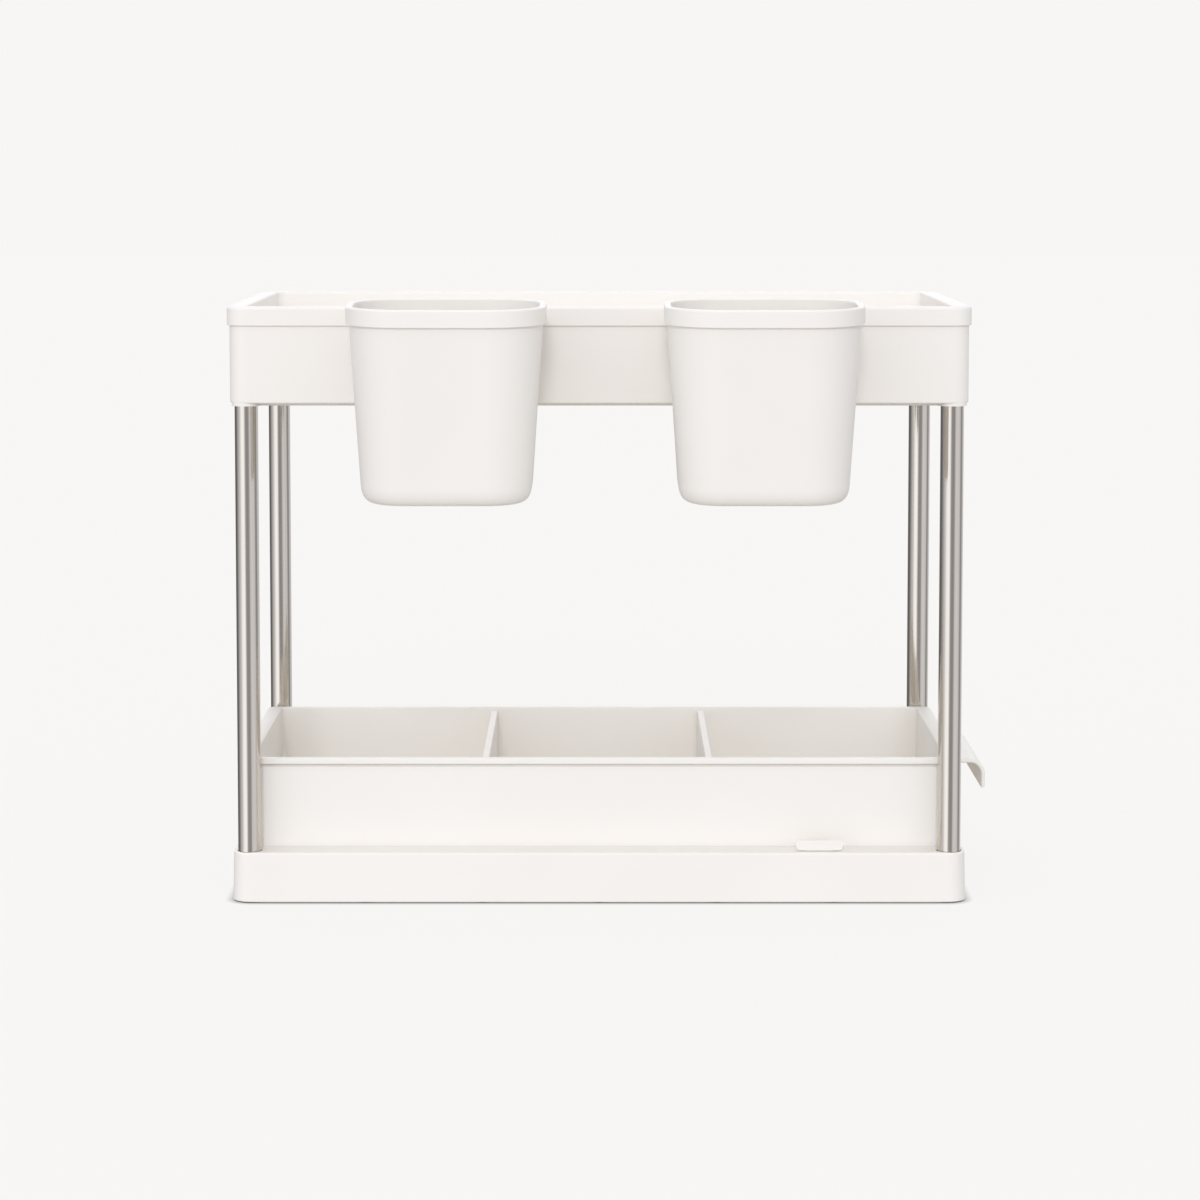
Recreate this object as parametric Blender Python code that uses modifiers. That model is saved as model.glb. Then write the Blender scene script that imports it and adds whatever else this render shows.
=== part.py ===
"""Two-tier cabinet organizer.

A moulded channel base carries four steel tubes and a drawer that pulls out to +X.
The tubes carry a deep-skirted tray, and two cups hang by hooks on the tray's front rim.
Lengths are in metres. +Z is up, -Y is the long side with the cups.
"""

import math

import bmesh
import bpy
from mathutils import Matrix

# Clearances shared by several pieces
seat_gap = 0.0003
weld_depth = 0.0005
cut_overrun = 0.004

# Tube grid, which the base and the tray both follow
post_span_x = 0.364
post_span_y = 0.194
post_radius = 0.006
post_wall = 0.0008
post_x = post_span_x / 2
post_y = post_span_y / 2

# Base: a tray with a box rail along each long side, open at the +X end
base_edge_x = 0.0089
base_edge_y = 0.0080
base_ground_gap = 0.0006
base_top = 0.0265
base_corner = 0.010
base_draft = 0.0006
base_foot_chamfer = 0.0005
deck_edge_radius = 0.0013
deck_thickness = 0.0024
base_wall = 0.0022
rail_wall = 0.0035
rail_cells = 6
base_floor_top = 0.0050
base_floor_thickness = 0.0022
floor_cells = 4
base_rib = 0.0016
base_end_wall = 0.0029
base_half_x = post_x + base_edge_x
base_half_y = post_y + base_edge_y

# Drawer
drawer_side_play = 0.0006
drawer_side_flange = 0.0022
drawer_post_play = 0.0014
drawer_end_flange = 0.0056
drawer_end_inset = 0.0023
drawer_height = 0.0684
drawer_lip = 0.0032
drawer_wall = 0.0022
drawer_floor = 0.0022
drawer_corner = 0.0045
drawer_rim_corner = 0.005
drawer_foot_radius = 0.003
drawer_rim_radius = 0.0008
drawer_travel = 0.290
drawer_bottom = base_floor_top + seat_gap
drawer_top = drawer_bottom + drawer_height
drawer_rim_y = post_y - post_radius - drawer_post_play
drawer_half_y = drawer_rim_y - drawer_side_flange
drawer_rim_x = base_half_x - drawer_end_inset
drawer_half_x = drawer_rim_x - drawer_end_flange
bay_half_y = drawer_half_y + drawer_side_play

# Drawer studs and the grooves they ride in, which also stop the drawer
stud_from_end = 0.015
stud_length = 0.008
stud_height = 0.004
stud_reach = 0.0020
stud_from_floor = 0.005
groove_depth = 0.0022
groove_play = 0.0006
groove_lead = 0.002
closing_stop_width = 0.003
closing_stop_height = 0.014
closing_stop_y = 0.045

# Drawer handle, a lip curled down along the +X wall
handle_length = 0.098
handle_drop = 0.0074
handle_reach = 0.0227
handle_lip_height = 0.0153
handle_skin = 0.0020
handle_curl = 0.006

# Dividers and the guide ribs that hold them upright
divider_thickness = 0.0036
divider_left_x = -0.0596
divider_right_x = 0.0575
divider_below_rim = 0.0015
divider_corner = 0.003
guide_play = 0.0003
guide_rib = 0.0016
guide_reach = 0.003
guide_height = 0.034

# Top tray: a tub whose rim turns over into a deep outer skirt
tray_edge_x = 0.00845
tray_edge_y = 0.0080
tray_skirt_bottom = 0.2601
tray_skirt_height = 0.0400
tray_band_height = 0.0097
tray_band_proud = 0.0013
tray_rim_width = 0.0096
tray_corner = 0.010
tray_inner_corner = 0.006
tray_wall = 0.0020
tray_floor_below_skirt = 0.0018
tray_draft = 0.0016
tray_floor_radius = 0.004
tray_rim_radius = 0.0015
tray_inner_edge_radius = 0.0010
tray_socket_depth = 0.0360
tray_half_x = post_x + tray_edge_x
tray_half_y = post_y + tray_edge_y
tray_band_bottom = tray_skirt_bottom + tray_skirt_height
tray_top = tray_band_bottom + tray_band_height
tray_inner_x = tray_half_x + tray_band_proud - tray_rim_width
tray_inner_y = tray_half_y + tray_band_proud - tray_rim_width

# Tube sockets in both tiers
socket_play = 0.0003
socket_wall = 0.0011
socket_inset = 0.0003
socket_roof_thickness = 0.0015
base_socket_floor = 0.0060
base_socket_floor_thickness = 0.0025
socket_radius = post_radius + socket_play
boss_radius = socket_radius + socket_wall
socket_roof = tray_skirt_bottom + tray_socket_depth

# Plugs in the tube ends, and the screws that hold the tubes to the base
plug_head = 0.0012
plug_shank_length = 0.012
plug_bore_radius = 0.0021
plug_edge = 0.0004
screw_radius = 0.0018
screw_head_radius = 0.0034
screw_head_height = 0.0020
screw_length = 0.012
screw_tip = 0.0010
screw_hole_play = 0.0004

# Rubber feet
foot_radius = 0.007
foot_seat_wall = 0.0015
foot_edge = 0.0005
foot_inset_x = 0.040
foot_inset_y = 0.033

# Cups, hung over the tray's front rim
cup_left_x = -0.0765
cup_right_x = 0.0825
cup_width = 0.100
cup_depth = 0.080
cup_height = 0.0986
cup_corner = 0.030
cup_band_height = 0.0088
cup_band_proud = 0.0017
cup_wall = 0.0018
cup_draft_deg = 3.8
cup_foot_radius = 0.008
cup_rim_radius = 0.0010
hook_width = 0.046
hook_drop = 0.0019
hook_thickness = 0.0024
hook_tongue = 0.0022
hook_depth = 0.016
hook_corner = 0.0015
hook_play = 0.0004

# Badge, a bare plate pegged into the base's front deck
badge_x = 0.1146
badge_width = 0.0267
badge_height = 0.0062
badge_thickness = 0.0035
badge_setback = 0.0040
badge_corner = 0.0020
badge_peg_width = 0.014
badge_peg_thickness = 0.0018
badge_peg_length = 0.0050
badge_peg_play = 0.0003

# Fineness of round shapes
corner_steps = 7
cup_corner_steps = 9
edge_steps = 2
fillet_steps = 3
turn_steps = 24
merge_distance = 0.00001

# Colours
plastic_colour = (0.82, 0.78, 0.73, 1.0)
steel_colour = (0.62, 0.61, 0.59, 1.0)
rubber_colour = (0.05, 0.05, 0.05, 1.0)
zinc_colour = (0.55, 0.56, 0.58, 1.0)

corner_signs = {
    "front_left": (-1, -1),
    "front_right": (1, -1),
    "rear_left": (-1, 1),
    "rear_right": (1, 1),
}


def clear_scene():
    """Remove every object of the opening scene."""
    for item in list(bpy.data.objects):
        bpy.data.objects.remove(item, do_unlink=True)


def new_collection(name):
    """A collection linked to the scene."""
    collection = bpy.data.collections.new(name)
    bpy.context.scene.collection.children.link(collection)
    return collection


def new_material(name, colour, roughness, metallic):
    """A plain Principled material."""
    material = bpy.data.materials.new(name)
    material.use_nodes = True
    shader = material.node_tree.nodes["Principled BSDF"]
    shader.inputs["Base Color"].default_value = colour
    shader.inputs["Roughness"].default_value = roughness
    shader.inputs["Metallic"].default_value = metallic
    material.diffuse_color = colour
    return material


clear_scene()
parts = new_collection("cabinet_organizer")
cutters = new_collection("cutters")


def add_part(name, mesh, colour, roughness, metallic=0.0):
    """Link a finished mesh as a named sub-part with its own material."""
    item = bpy.data.objects.new(name, mesh)
    parts.objects.link(item)
    mesh.materials.clear()
    mesh.materials.append(new_material(name, colour, roughness, metallic))
    return item


def add_plastic_part(name, mesh):
    """A sub-part in the organizer's warm white moulded plastic."""
    return add_part(name, mesh, plastic_colour, 0.55)


def shape_part(target, name, mesh, operation):
    """Cut a mesh out of a sub-part, or join it on, with a live Boolean."""
    tool = bpy.data.objects.new(target.name + "_" + name, mesh)
    cutters.objects.link(tool)
    tool.hide_render = True
    tool.display_type = "WIRE"
    tool.parent = target
    modifier = target.modifiers.new(name, "BOOLEAN")
    modifier.operation = operation
    modifier.solver = "EXACT"
    modifier.object = tool
    return tool


def cut(target, name, mesh):
    """Cut a mesh out of a sub-part."""
    return shape_part(target, name, mesh, "DIFFERENCE")


def join(target, name, mesh):
    """Join a mesh on to a sub-part."""
    return shape_part(target, name, mesh, "UNION")


def finish_mesh(builder, name):
    """Turn a bmesh into a mesh with its faces pointing out."""
    bmesh.ops.recalc_face_normals(builder, faces=builder.faces)
    mesh = bpy.data.meshes.new(name)
    builder.to_mesh(mesh)
    builder.free()
    return mesh


def box_mesh(name, boxes):
    """One mesh with a cube for each pair of opposite corners."""
    builder = bmesh.new()
    for low, high in boxes:
        size = [high[axis] - low[axis] for axis in range(3)]
        middle = [(high[axis] + low[axis]) / 2 for axis in range(3)]
        place = Matrix.Translation(middle) @ Matrix.Diagonal((*size, 1))
        bmesh.ops.create_cube(builder, size=1, matrix=place)
    return finish_mesh(builder, name)


def cylinder_mesh(name, places, radius, low, high):
    """One mesh with an upright cylinder at each place."""
    builder = bmesh.new()
    for x, y in places:
        bmesh.ops.create_cone(
            builder,
            cap_ends=True,
            segments=turn_steps,
            radius1=radius,
            radius2=radius,
            depth=high - low,
            matrix=Matrix.Translation((x, y, (high + low) / 2)),
        )
    return finish_mesh(builder, name)


def turned_mesh(name, profile, closed=False):
    """A profile of (radius, height) points turned about Z."""
    line = bpy.data.meshes.new(name + "_profile")
    edges = [(index, index + 1) for index in range(len(profile) - 1)]
    if closed:
        edges.append((len(profile) - 1, 0))
    line.from_pydata([(radius, 0, height) for radius, height in profile], edges, [])
    guide = bpy.data.objects.new(name + "_profile", line)
    cutters.objects.link(guide)
    screw = guide.modifiers.new("turn", "SCREW")
    screw.steps = turn_steps
    screw.render_steps = turn_steps
    screw.use_merge_vertices = True
    screw.merge_threshold = merge_distance
    depsgraph = bpy.context.evaluated_depsgraph_get()
    turned = bpy.data.meshes.new_from_object(guide.evaluated_get(depsgraph))
    bpy.data.objects.remove(guide, do_unlink=True)
    builder = bmesh.new()
    builder.from_mesh(turned)
    return finish_mesh(builder, name)


def arc_points(centre, radius, start_deg, end_deg, steps):
    """Points along an arc, both ends included."""
    points = []
    for step in range(steps + 1):
        angle = math.radians(start_deg + (end_deg - start_deg) * step / steps)
        x = centre[0] + radius * math.cos(angle)
        y = centre[1] + radius * math.sin(angle)
        points.append((x, y))
    return points


def plate_mesh(name, outline, width, place):
    """A flat outline extruded to a width about its own plane, then turned into place."""
    curve = bpy.data.curves.new(name, "CURVE")
    curve.dimensions = "2D"
    curve.fill_mode = "BOTH"
    curve.extrude = width / 2
    spline = curve.splines.new("POLY")
    spline.points.add(len(outline) - 1)
    for point, (x, y) in zip(spline.points, outline):
        point.co = (x, y, 0, 1)
    spline.use_cyclic_u = True
    guide = bpy.data.objects.new(name, curve)
    cutters.objects.link(guide)
    depsgraph = bpy.context.evaluated_depsgraph_get()
    mesh = bpy.data.meshes.new_from_object(guide.evaluated_get(depsgraph))
    bpy.data.objects.remove(guide, do_unlink=True)
    mesh.transform(place)
    builder = bmesh.new()
    builder.from_mesh(mesh)
    bmesh.ops.remove_doubles(builder, verts=builder.verts, dist=merge_distance)
    return finish_mesh(builder, name)


# A plate drawn in (x, z) and extruded along Y, and one drawn in (y, z) along X
upright_along_y = Matrix(((1, 0, 0, 0), (0, 0, -1, 0), (0, 1, 0, 0), (0, 0, 0, 1)))
upright_along_x = Matrix(((0, 0, 1, 0), (1, 0, 0, 0), (0, 1, 0, 0), (0, 0, 0, 1)))


def rounded_outline(ring, steps):
    """Points of one ring: a rectangle with round corners at a height, shifted in Y."""
    half_x, half_y, corner, height, shift = ring
    points = []
    for quarter, (sign_x, sign_y) in enumerate(((1, 1), (-1, 1), (-1, -1), (1, -1))):
        centre = (sign_x * (half_x - corner), sign_y * (half_y - corner) + shift)
        start = 90 * quarter
        for x, y in arc_points(centre, corner, start, start + 90, steps):
            points.append((x, y, height))
    return points


def ring_mesh(name, rings, steps=corner_steps):
    """A closed solid whose skin passes through a chain of rounded rectangles.

    The first and the last ring are capped. Each next ring is extruded from the one before.
    """
    count = 4 * (steps + 1)
    builder = bmesh.new()
    bmesh.ops.create_circle(builder, cap_ends=True, segments=count, radius=1)
    builder.verts.ensure_lookup_table()
    order = {vert: index for index, vert in enumerate(builder.verts)}
    edges = list(builder.edges)
    for vert, place in zip(builder.verts, rounded_outline(rings[0], steps)):
        vert.co = place
    for ring in rings[1:]:
        places = rounded_outline(ring, steps)
        grown = bmesh.ops.extrude_edge_only(builder, edges=edges)["geom"]
        verts = [item for item in grown if isinstance(item, bmesh.types.BMVert)]
        next_order = {}
        for vert in verts:
            before = [edge.other_vert(vert) for edge in vert.link_edges]
            index = next(order[item] for item in before if item in order)
            next_order[vert] = index
            vert.co = places[index]
        edges = [
            item
            for item in grown
            if isinstance(item, bmesh.types.BMEdge)
            and item.verts[0] in next_order
            and item.verts[1] in next_order
        ]
        order = next_order
    bmesh.ops.contextual_create(builder, geom=edges)
    return finish_mesh(builder, name)


def quarter_steps(steps):
    """Angles from 0 to 90 degrees, in radians."""
    return [math.radians(90) * step / steps for step in range(steps + 1)]


def add_base():
    """Channel base: floor, two box rails, closed -X end and open +X end."""
    base = add_plastic_part("base", base_shell_mesh())
    cut(base, "drawer_bay", bay_mesh())
    cut(base, "pockets", base_pockets_mesh())
    post_places = [(sx * post_x, sy * post_y) for sx, sy in corner_signs.values()]
    boss_low = base_socket_floor - base_socket_floor_thickness
    boss_high = base_top - deck_thickness / 2
    join(base, "bosses", cylinder_mesh("bosses", post_places, boss_radius, boss_low, boss_high))
    bore_high = base_top + cut_overrun
    bores = cylinder_mesh("bores", post_places, socket_radius, base_socket_floor, bore_high)
    cut(base, "bores", bores)
    hole_radius = screw_radius + screw_hole_play
    holes = cylinder_mesh("holes", post_places, hole_radius, 0, base_socket_floor + cut_overrun)
    cut(base, "screw_holes", holes)
    recess_radius = screw_head_radius + 2 * screw_hole_play
    recesses = cylinder_mesh("recesses", post_places, recess_radius, 0, boss_low)
    cut(base, "screw_recesses", recesses)
    seat_top = base_floor_top - base_floor_thickness
    seat_wall_radius = foot_radius + seat_gap + foot_seat_wall
    seats = cylinder_mesh(
        "seats", foot_places(), seat_wall_radius, base_ground_gap, seat_top + weld_depth
    )
    join(base, "foot_seats", seats)
    foot_pits = cylinder_mesh("foot_pits", foot_places(), foot_radius + seat_gap, 0, seat_top)
    cut(base, "foot_pits", foot_pits)
    cut(base, "grooves", groove_mesh())
    join(base, "closing_stops", closing_stop_mesh())
    cut(base, "badge_slot", badge_slot_mesh())
    return base


def base_shell_mesh():
    """Outer block of the base, with drafted sides and a rounded deck edge."""
    bottom = base_ground_gap
    rings = [
        (
            base_half_x - base_foot_chamfer,
            base_half_y - base_foot_chamfer,
            base_corner - base_foot_chamfer,
            bottom,
            0,
        ),
        (base_half_x, base_half_y, base_corner, bottom + base_foot_chamfer, 0),
    ]
    for angle in quarter_steps(fillet_steps):
        inset = base_draft + deck_edge_radius * (1 - math.cos(angle))
        height = base_top - deck_edge_radius * (1 - math.sin(angle))
        rings.append((base_half_x - inset, base_half_y - inset, base_corner - inset, height, 0))
    return ring_mesh("base", rings)


def bay_mesh():
    """Space for the drawer, open upward and at the +X end."""
    low = (-base_half_x + base_end_wall, -bay_half_y, base_floor_top)
    high = (base_half_x + cut_overrun, bay_half_y, base_top + cut_overrun)
    return box_mesh("bay", [(low, high)])


def cell_spans(start, end, cells):
    """Spans of equal cells between two ends, with a rib between neighbours."""
    pitch = (end - start + base_rib) / cells
    return [(start + pitch * cell, start + pitch * (cell + 1) - base_rib) for cell in range(cells)]


def base_pockets_mesh():
    """Hollows under both rails and under the floor, which leave walls and ribs."""
    boxes = []
    rail_low_y = bay_half_y + rail_wall
    rail_high_y = base_half_y - base_draft - base_wall
    rail_high_z = base_top - deck_thickness
    for start, end in cell_spans(-post_x, post_x, rail_cells):
        boxes.append(((start, rail_low_y, 0), (end, rail_high_y, rail_high_z)))
        boxes.append(((start, -rail_high_y, 0), (end, -rail_low_y, rail_high_z)))
    floor_low_x = -base_half_x + base_end_wall
    floor_high_x = base_half_x - base_wall
    floor_high_z = base_floor_top - base_floor_thickness
    for start, end in cell_spans(floor_low_x, floor_high_x, floor_cells):
        boxes.append(((start, -bay_half_y, 0), (end, bay_half_y, floor_high_z)))
    return box_mesh("pockets", boxes)


def foot_places():
    """Centres of the rubber feet under the base's floor."""
    x = base_half_x - foot_inset_x
    y = base_half_y - foot_inset_y
    return [(sign_x * x, sign_y * y) for sign_x, sign_y in corner_signs.values()]


def stud_span_x():
    """Start and end of the drawer's studs when the drawer is shut."""
    start = -drawer_half_x + stud_from_end
    return start, start + stud_length


def groove_mesh():
    """Grooves in the rails that guide the studs and end where the drawer stops."""
    stud_start, stud_end = stud_span_x()
    start = stud_start - groove_lead
    end = stud_end + drawer_travel + seat_gap
    low_z = drawer_bottom + stud_from_floor - groove_play
    high_z = low_z + stud_height + 2 * groove_play
    boxes = []
    for low_y in (bay_half_y - cut_overrun, -bay_half_y - groove_depth):
        high_y = low_y + groove_depth + cut_overrun
        boxes.append(((start, low_y, low_z), (end, high_y, high_z)))
    return box_mesh("grooves", boxes)


def closing_stop_mesh():
    """Two posts on the -X end wall that the shut drawer rests against."""
    start = -base_half_x + base_end_wall - weld_depth
    end = -drawer_half_x - seat_gap
    low_z = base_floor_top - weld_depth
    high_z = base_floor_top + closing_stop_height
    boxes = []
    for side in (-1, 1):
        low_y = side * closing_stop_y - closing_stop_width / 2
        boxes.append(((start, low_y, low_z), (end, low_y + closing_stop_width, high_z)))
    return box_mesh("closing_stops", boxes)


def badge_middle_y():
    """Middle of the badge's thickness."""
    return -base_half_y + badge_setback + badge_thickness / 2


def badge_slot_mesh():
    """Slot through the deck for the badge's peg, also through a rib that lies in its way."""
    half_x = badge_peg_width / 2 + badge_peg_play
    half_y = badge_peg_thickness / 2 + badge_peg_play
    middle_y = badge_middle_y()
    low_z = base_top - max(badge_peg_length, deck_thickness) - badge_peg_play
    low = (badge_x - half_x, middle_y - half_y, low_z)
    high = (badge_x + half_x, middle_y + half_y, base_top + cut_overrun)
    return box_mesh("badge_slot", [(low, high)])


def add_feet():
    """Rubber feet, round pads in the seats under the floor."""
    top = base_floor_top - base_floor_thickness - seat_gap
    profile = [
        (0, top),
        (foot_radius, top),
        (foot_radius, foot_edge),
        (foot_radius - foot_edge, 0),
        (0, 0),
    ]
    mesh = turned_mesh("foot", profile)
    for corner, (x, y) in zip(corner_signs, foot_places()):
        foot = add_part("foot_" + corner, mesh.copy(), rubber_colour, 0.8)
        foot.location = (x, y, 0)


def add_posts_and_plugs():
    """Steel tubes with a plug in each end, and the screws from below."""
    low = base_socket_floor + seat_gap
    tube_low = low + plug_head + seat_gap
    tube_high = socket_roof - plug_head - 2 * seat_gap
    tube = [
        (post_radius, tube_high),
        (post_radius, tube_low),
        (post_radius - post_wall, tube_low),
        (post_radius - post_wall, tube_high),
    ]
    tube_mesh = turned_mesh("post", tube, closed=True)
    lower_plug_mesh = turned_mesh("lower_plug", lower_plug_profile(), closed=True)
    upper_plug_mesh = turned_mesh("upper_plug", upper_plug_profile())
    for corner, (sign_x, sign_y) in corner_signs.items():
        place = (sign_x * post_x, sign_y * post_y, 0)
        post = add_part("post_" + corner, tube_mesh.copy(), steel_colour, 0.28, 1.0)
        post.location = place
        lower = add_part("lower_plug_" + corner, lower_plug_mesh.copy(), rubber_colour, 0.6)
        lower.location = (place[0], place[1], low)
        upper = add_part("upper_plug_" + corner, upper_plug_mesh.copy(), rubber_colour, 0.6)
        upper.location = (place[0], place[1], socket_roof - seat_gap)


def lower_plug_profile():
    """Plug that closes a tube's foot, bored for the screw."""
    shank_radius = post_radius - post_wall - seat_gap
    top = plug_head + plug_shank_length
    return [
        (plug_bore_radius, top),
        (shank_radius - plug_edge, top),
        (shank_radius, top - plug_edge),
        (shank_radius, plug_head),
        (post_radius, plug_head),
        (post_radius, 0),
        (plug_bore_radius, 0),
    ]


def upper_plug_profile():
    """Plug that closes a tube's top, with its head above."""
    shank_radius = post_radius - post_wall - seat_gap
    bottom = -plug_head - plug_shank_length
    return [
        (0, 0),
        (post_radius - plug_edge, 0),
        (post_radius, -plug_edge),
        (post_radius, -plug_head),
        (shank_radius, -plug_head),
        (shank_radius, bottom + plug_edge),
        (shank_radius - plug_edge, bottom),
        (0, bottom),
    ]


def add_base_screws():
    """Four alike screws that run up through the socket floors into the lower plugs."""
    head_top = base_socket_floor - base_socket_floor_thickness - seat_gap
    tip = head_top + screw_length
    profile = [
        (0, tip),
        (screw_radius - screw_tip, tip),
        (screw_radius, tip - screw_tip),
        (screw_radius, head_top),
        (screw_head_radius, head_top),
        (screw_head_radius, head_top - screw_head_height / 2),
        (screw_head_radius - screw_head_height / 2, head_top - screw_head_height),
        (0, head_top - screw_head_height),
    ]
    mesh = turned_mesh("base_screw", profile)
    for corner, (sign_x, sign_y) in corner_signs.items():
        screw = add_part("base_screw_" + corner, mesh.copy(), zinc_colour, 0.35, 1.0)
        screw.location = (sign_x * post_x, sign_y * post_y, 0)


def add_drawer():
    """Drawer: a straight-walled tub with a turned-out rim, studs, guides and a handle."""
    drawer = add_plastic_part("drawer", drawer_tub_mesh())
    join(drawer, "guide_ribs", guide_rib_mesh())
    join(drawer, "studs", stud_mesh())
    join(drawer, "handle", handle_mesh())
    return drawer


def drawer_ring(spread, height):
    """Ring of the drawer's outer wall moved out by a spread, at a height."""
    return (drawer_half_x + spread, drawer_half_y + spread, drawer_corner + spread, height, 0)


def drawer_tub_mesh():
    """Skin from the outer floor up the wall, round the rim and down the inside."""
    rings = []
    for angle in quarter_steps(fillet_steps):
        inset = drawer_foot_radius * (1 - math.sin(angle))
        height = drawer_bottom + drawer_foot_radius * (1 - math.cos(angle))
        rings.append(drawer_ring(-inset, height))
    lip_bottom = drawer_top - drawer_lip
    rings.append(drawer_ring(0, lip_bottom))
    rings.append((drawer_rim_x, drawer_rim_y, drawer_rim_corner, lip_bottom, 0))
    for angle in quarter_steps(edge_steps):
        inset = drawer_rim_radius * (1 - math.cos(angle))
        height = drawer_top - drawer_rim_radius * (1 - math.sin(angle))
        corner = drawer_rim_corner - inset
        rings.append((drawer_rim_x - inset, drawer_rim_y - inset, corner, height, 0))
    for angle in quarter_steps(edge_steps):
        inset = drawer_wall - drawer_rim_radius * (1 - math.sin(angle))
        height = drawer_top - drawer_rim_radius * (1 - math.cos(angle))
        rings.append(drawer_ring(-inset, height))
    inner_radius = drawer_foot_radius - drawer_wall / 2
    for angle in reversed(quarter_steps(fillet_steps)):
        inset = drawer_wall + inner_radius * (1 - math.sin(angle))
        height = drawer_bottom + drawer_floor + inner_radius * (1 - math.cos(angle))
        rings.append(drawer_ring(-inset, height))
    return ring_mesh("drawer", rings)


def guide_rib_mesh():
    """Pairs of low ribs on the long walls, one pair at each end of each divider."""
    low_z = drawer_bottom + drawer_floor - weld_depth
    high_z = drawer_bottom + drawer_floor + guide_height
    wall_y = drawer_half_y - drawer_wall
    offset = divider_thickness / 2 + guide_play
    boxes = []
    for middle in (divider_left_x, divider_right_x):
        for start in (middle - offset - guide_rib, middle + offset):
            for low_y in (-wall_y - weld_depth, wall_y - guide_reach):
                high_y = low_y + guide_reach + weld_depth
                boxes.append(((start, low_y, low_z), (start + guide_rib, high_y, high_z)))
    return box_mesh("guide_ribs", boxes)


def stud_mesh():
    """Studs on the outer long walls that ride in the base's grooves."""
    start, end = stud_span_x()
    low_z = drawer_bottom + stud_from_floor
    high_z = low_z + stud_height
    boxes = []
    for low_y in (drawer_half_y - weld_depth, -drawer_half_y - stud_reach):
        high_y = low_y + stud_reach + weld_depth
        boxes.append(((start, low_y, low_z), (end, high_y, high_z)))
    return box_mesh("studs", boxes)


def handle_mesh():
    """Handle lip: out from the wall under the rim, then curled down."""
    top = drawer_top - handle_drop
    root = drawer_half_x - weld_depth
    tip = drawer_half_x + handle_reach
    bend = (tip - handle_curl, top - handle_curl)
    lip_low = top - handle_lip_height + handle_skin / 2
    inner_curl = handle_curl - handle_skin
    outline = [(root, top - handle_skin), (root, top)]
    outline.extend(reversed(arc_points(bend, handle_curl, 0, 90, fillet_steps * 2)))
    end_centre = (tip - handle_skin / 2, lip_low)
    outline.extend(reversed(arc_points(end_centre, handle_skin / 2, 180, 360, fillet_steps)))
    outline.extend(arc_points(bend, inner_curl, 0, 90, fillet_steps * 2))
    return plate_mesh("handle", outline, handle_length, upright_along_y)


def add_dividers():
    """Two loose plates that drop between the guide ribs."""
    low_z = drawer_bottom + drawer_floor + seat_gap
    high_z = drawer_top - divider_below_rim
    half_y = drawer_half_y - drawer_wall - guide_play
    middle_z = (low_z + high_z) / 2
    half_z = (high_z - low_z) / 2
    outline = []
    for quarter, (sign_y, sign_z) in enumerate(((1, 1), (-1, 1), (-1, -1), (1, -1))):
        centre = (sign_y * (half_y - divider_corner), sign_z * (half_z - divider_corner))
        start = 90 * quarter
        outline.extend(arc_points(centre, divider_corner, start, start + 90, fillet_steps))
    mesh = plate_mesh("divider", outline, divider_thickness, upright_along_x)
    for name, x in (("divider_left", divider_left_x), ("divider_right", divider_right_x)):
        divider = add_plastic_part(name, mesh.copy())
        divider.location = (x, 0, middle_z)


def add_top_tray():
    """Top tray with a pillar in each corner, whose bore sits on a tube."""
    tray = add_plastic_part("top_tray", tray_tub_mesh())
    places = [(sx * post_x, sy * post_y) for sx, sy in corner_signs.values()]
    low = tray_skirt_bottom - tray_floor_below_skirt + socket_inset
    high = socket_roof + socket_roof_thickness
    join(tray, "pillars", cylinder_mesh("pillars", places, boss_radius, low, high))
    bore_low = tray_skirt_bottom - cut_overrun
    cut(tray, "bores", cylinder_mesh("tray_bores", places, socket_radius, bore_low, socket_roof))
    return tray


def tray_inner_ring(spread, height):
    """Ring of the tub's inner face moved out by a spread, drafted by its height."""
    floor_top = tray_skirt_bottom - tray_floor_below_skirt + tray_wall
    fall_share = (tray_top - height) / (tray_top - floor_top)
    offset = spread - tray_draft * fall_share
    half_x = tray_inner_x + offset
    half_y = tray_inner_y + offset
    return (half_x, half_y, tray_inner_corner + offset, height, 0)


def tray_outer_ring(spread, height):
    """Ring of the skirt's outer face moved out by a spread."""
    return (tray_half_x + spread, tray_half_y + spread, tray_corner + spread, height, 0)


def tray_tub_mesh():
    """Skin from under the floor, up between the walls, down and round the skirt and inside."""
    under = tray_skirt_bottom - tray_floor_below_skirt
    outer_radius = tray_floor_radius + tray_wall
    rings = []
    for angle in quarter_steps(fillet_steps):
        inset = outer_radius * (1 - math.sin(angle))
        height = under + outer_radius * (1 - math.cos(angle))
        rings.append(tray_inner_ring(tray_wall - inset, height))
    rings.append(tray_inner_ring(tray_wall, tray_top - tray_wall))
    rings.append(tray_outer_ring(-tray_wall, tray_top - tray_wall))
    rings.append(tray_outer_ring(-tray_wall, tray_skirt_bottom))
    rings.append(tray_outer_ring(0, tray_skirt_bottom))
    rings.append(tray_outer_ring(0, tray_band_bottom))
    rings.append(tray_outer_ring(tray_band_proud, tray_band_bottom))
    for angle in quarter_steps(fillet_steps):
        inset = tray_rim_radius * (1 - math.cos(angle))
        height = tray_top - tray_rim_radius * (1 - math.sin(angle))
        rings.append(tray_outer_ring(tray_band_proud - inset, height))
    for angle in quarter_steps(edge_steps):
        spread = tray_inner_edge_radius * (1 - math.sin(angle))
        height = tray_top - tray_inner_edge_radius * (1 - math.cos(angle))
        rings.append(tray_inner_ring(spread, height))
    for angle in reversed(quarter_steps(fillet_steps)):
        inset = tray_floor_radius * (1 - math.sin(angle))
        height = under + tray_wall + tray_floor_radius * (1 - math.cos(angle))
        rings.append(tray_inner_ring(-inset, height))
    return ring_mesh("top_tray", rings)


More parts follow.
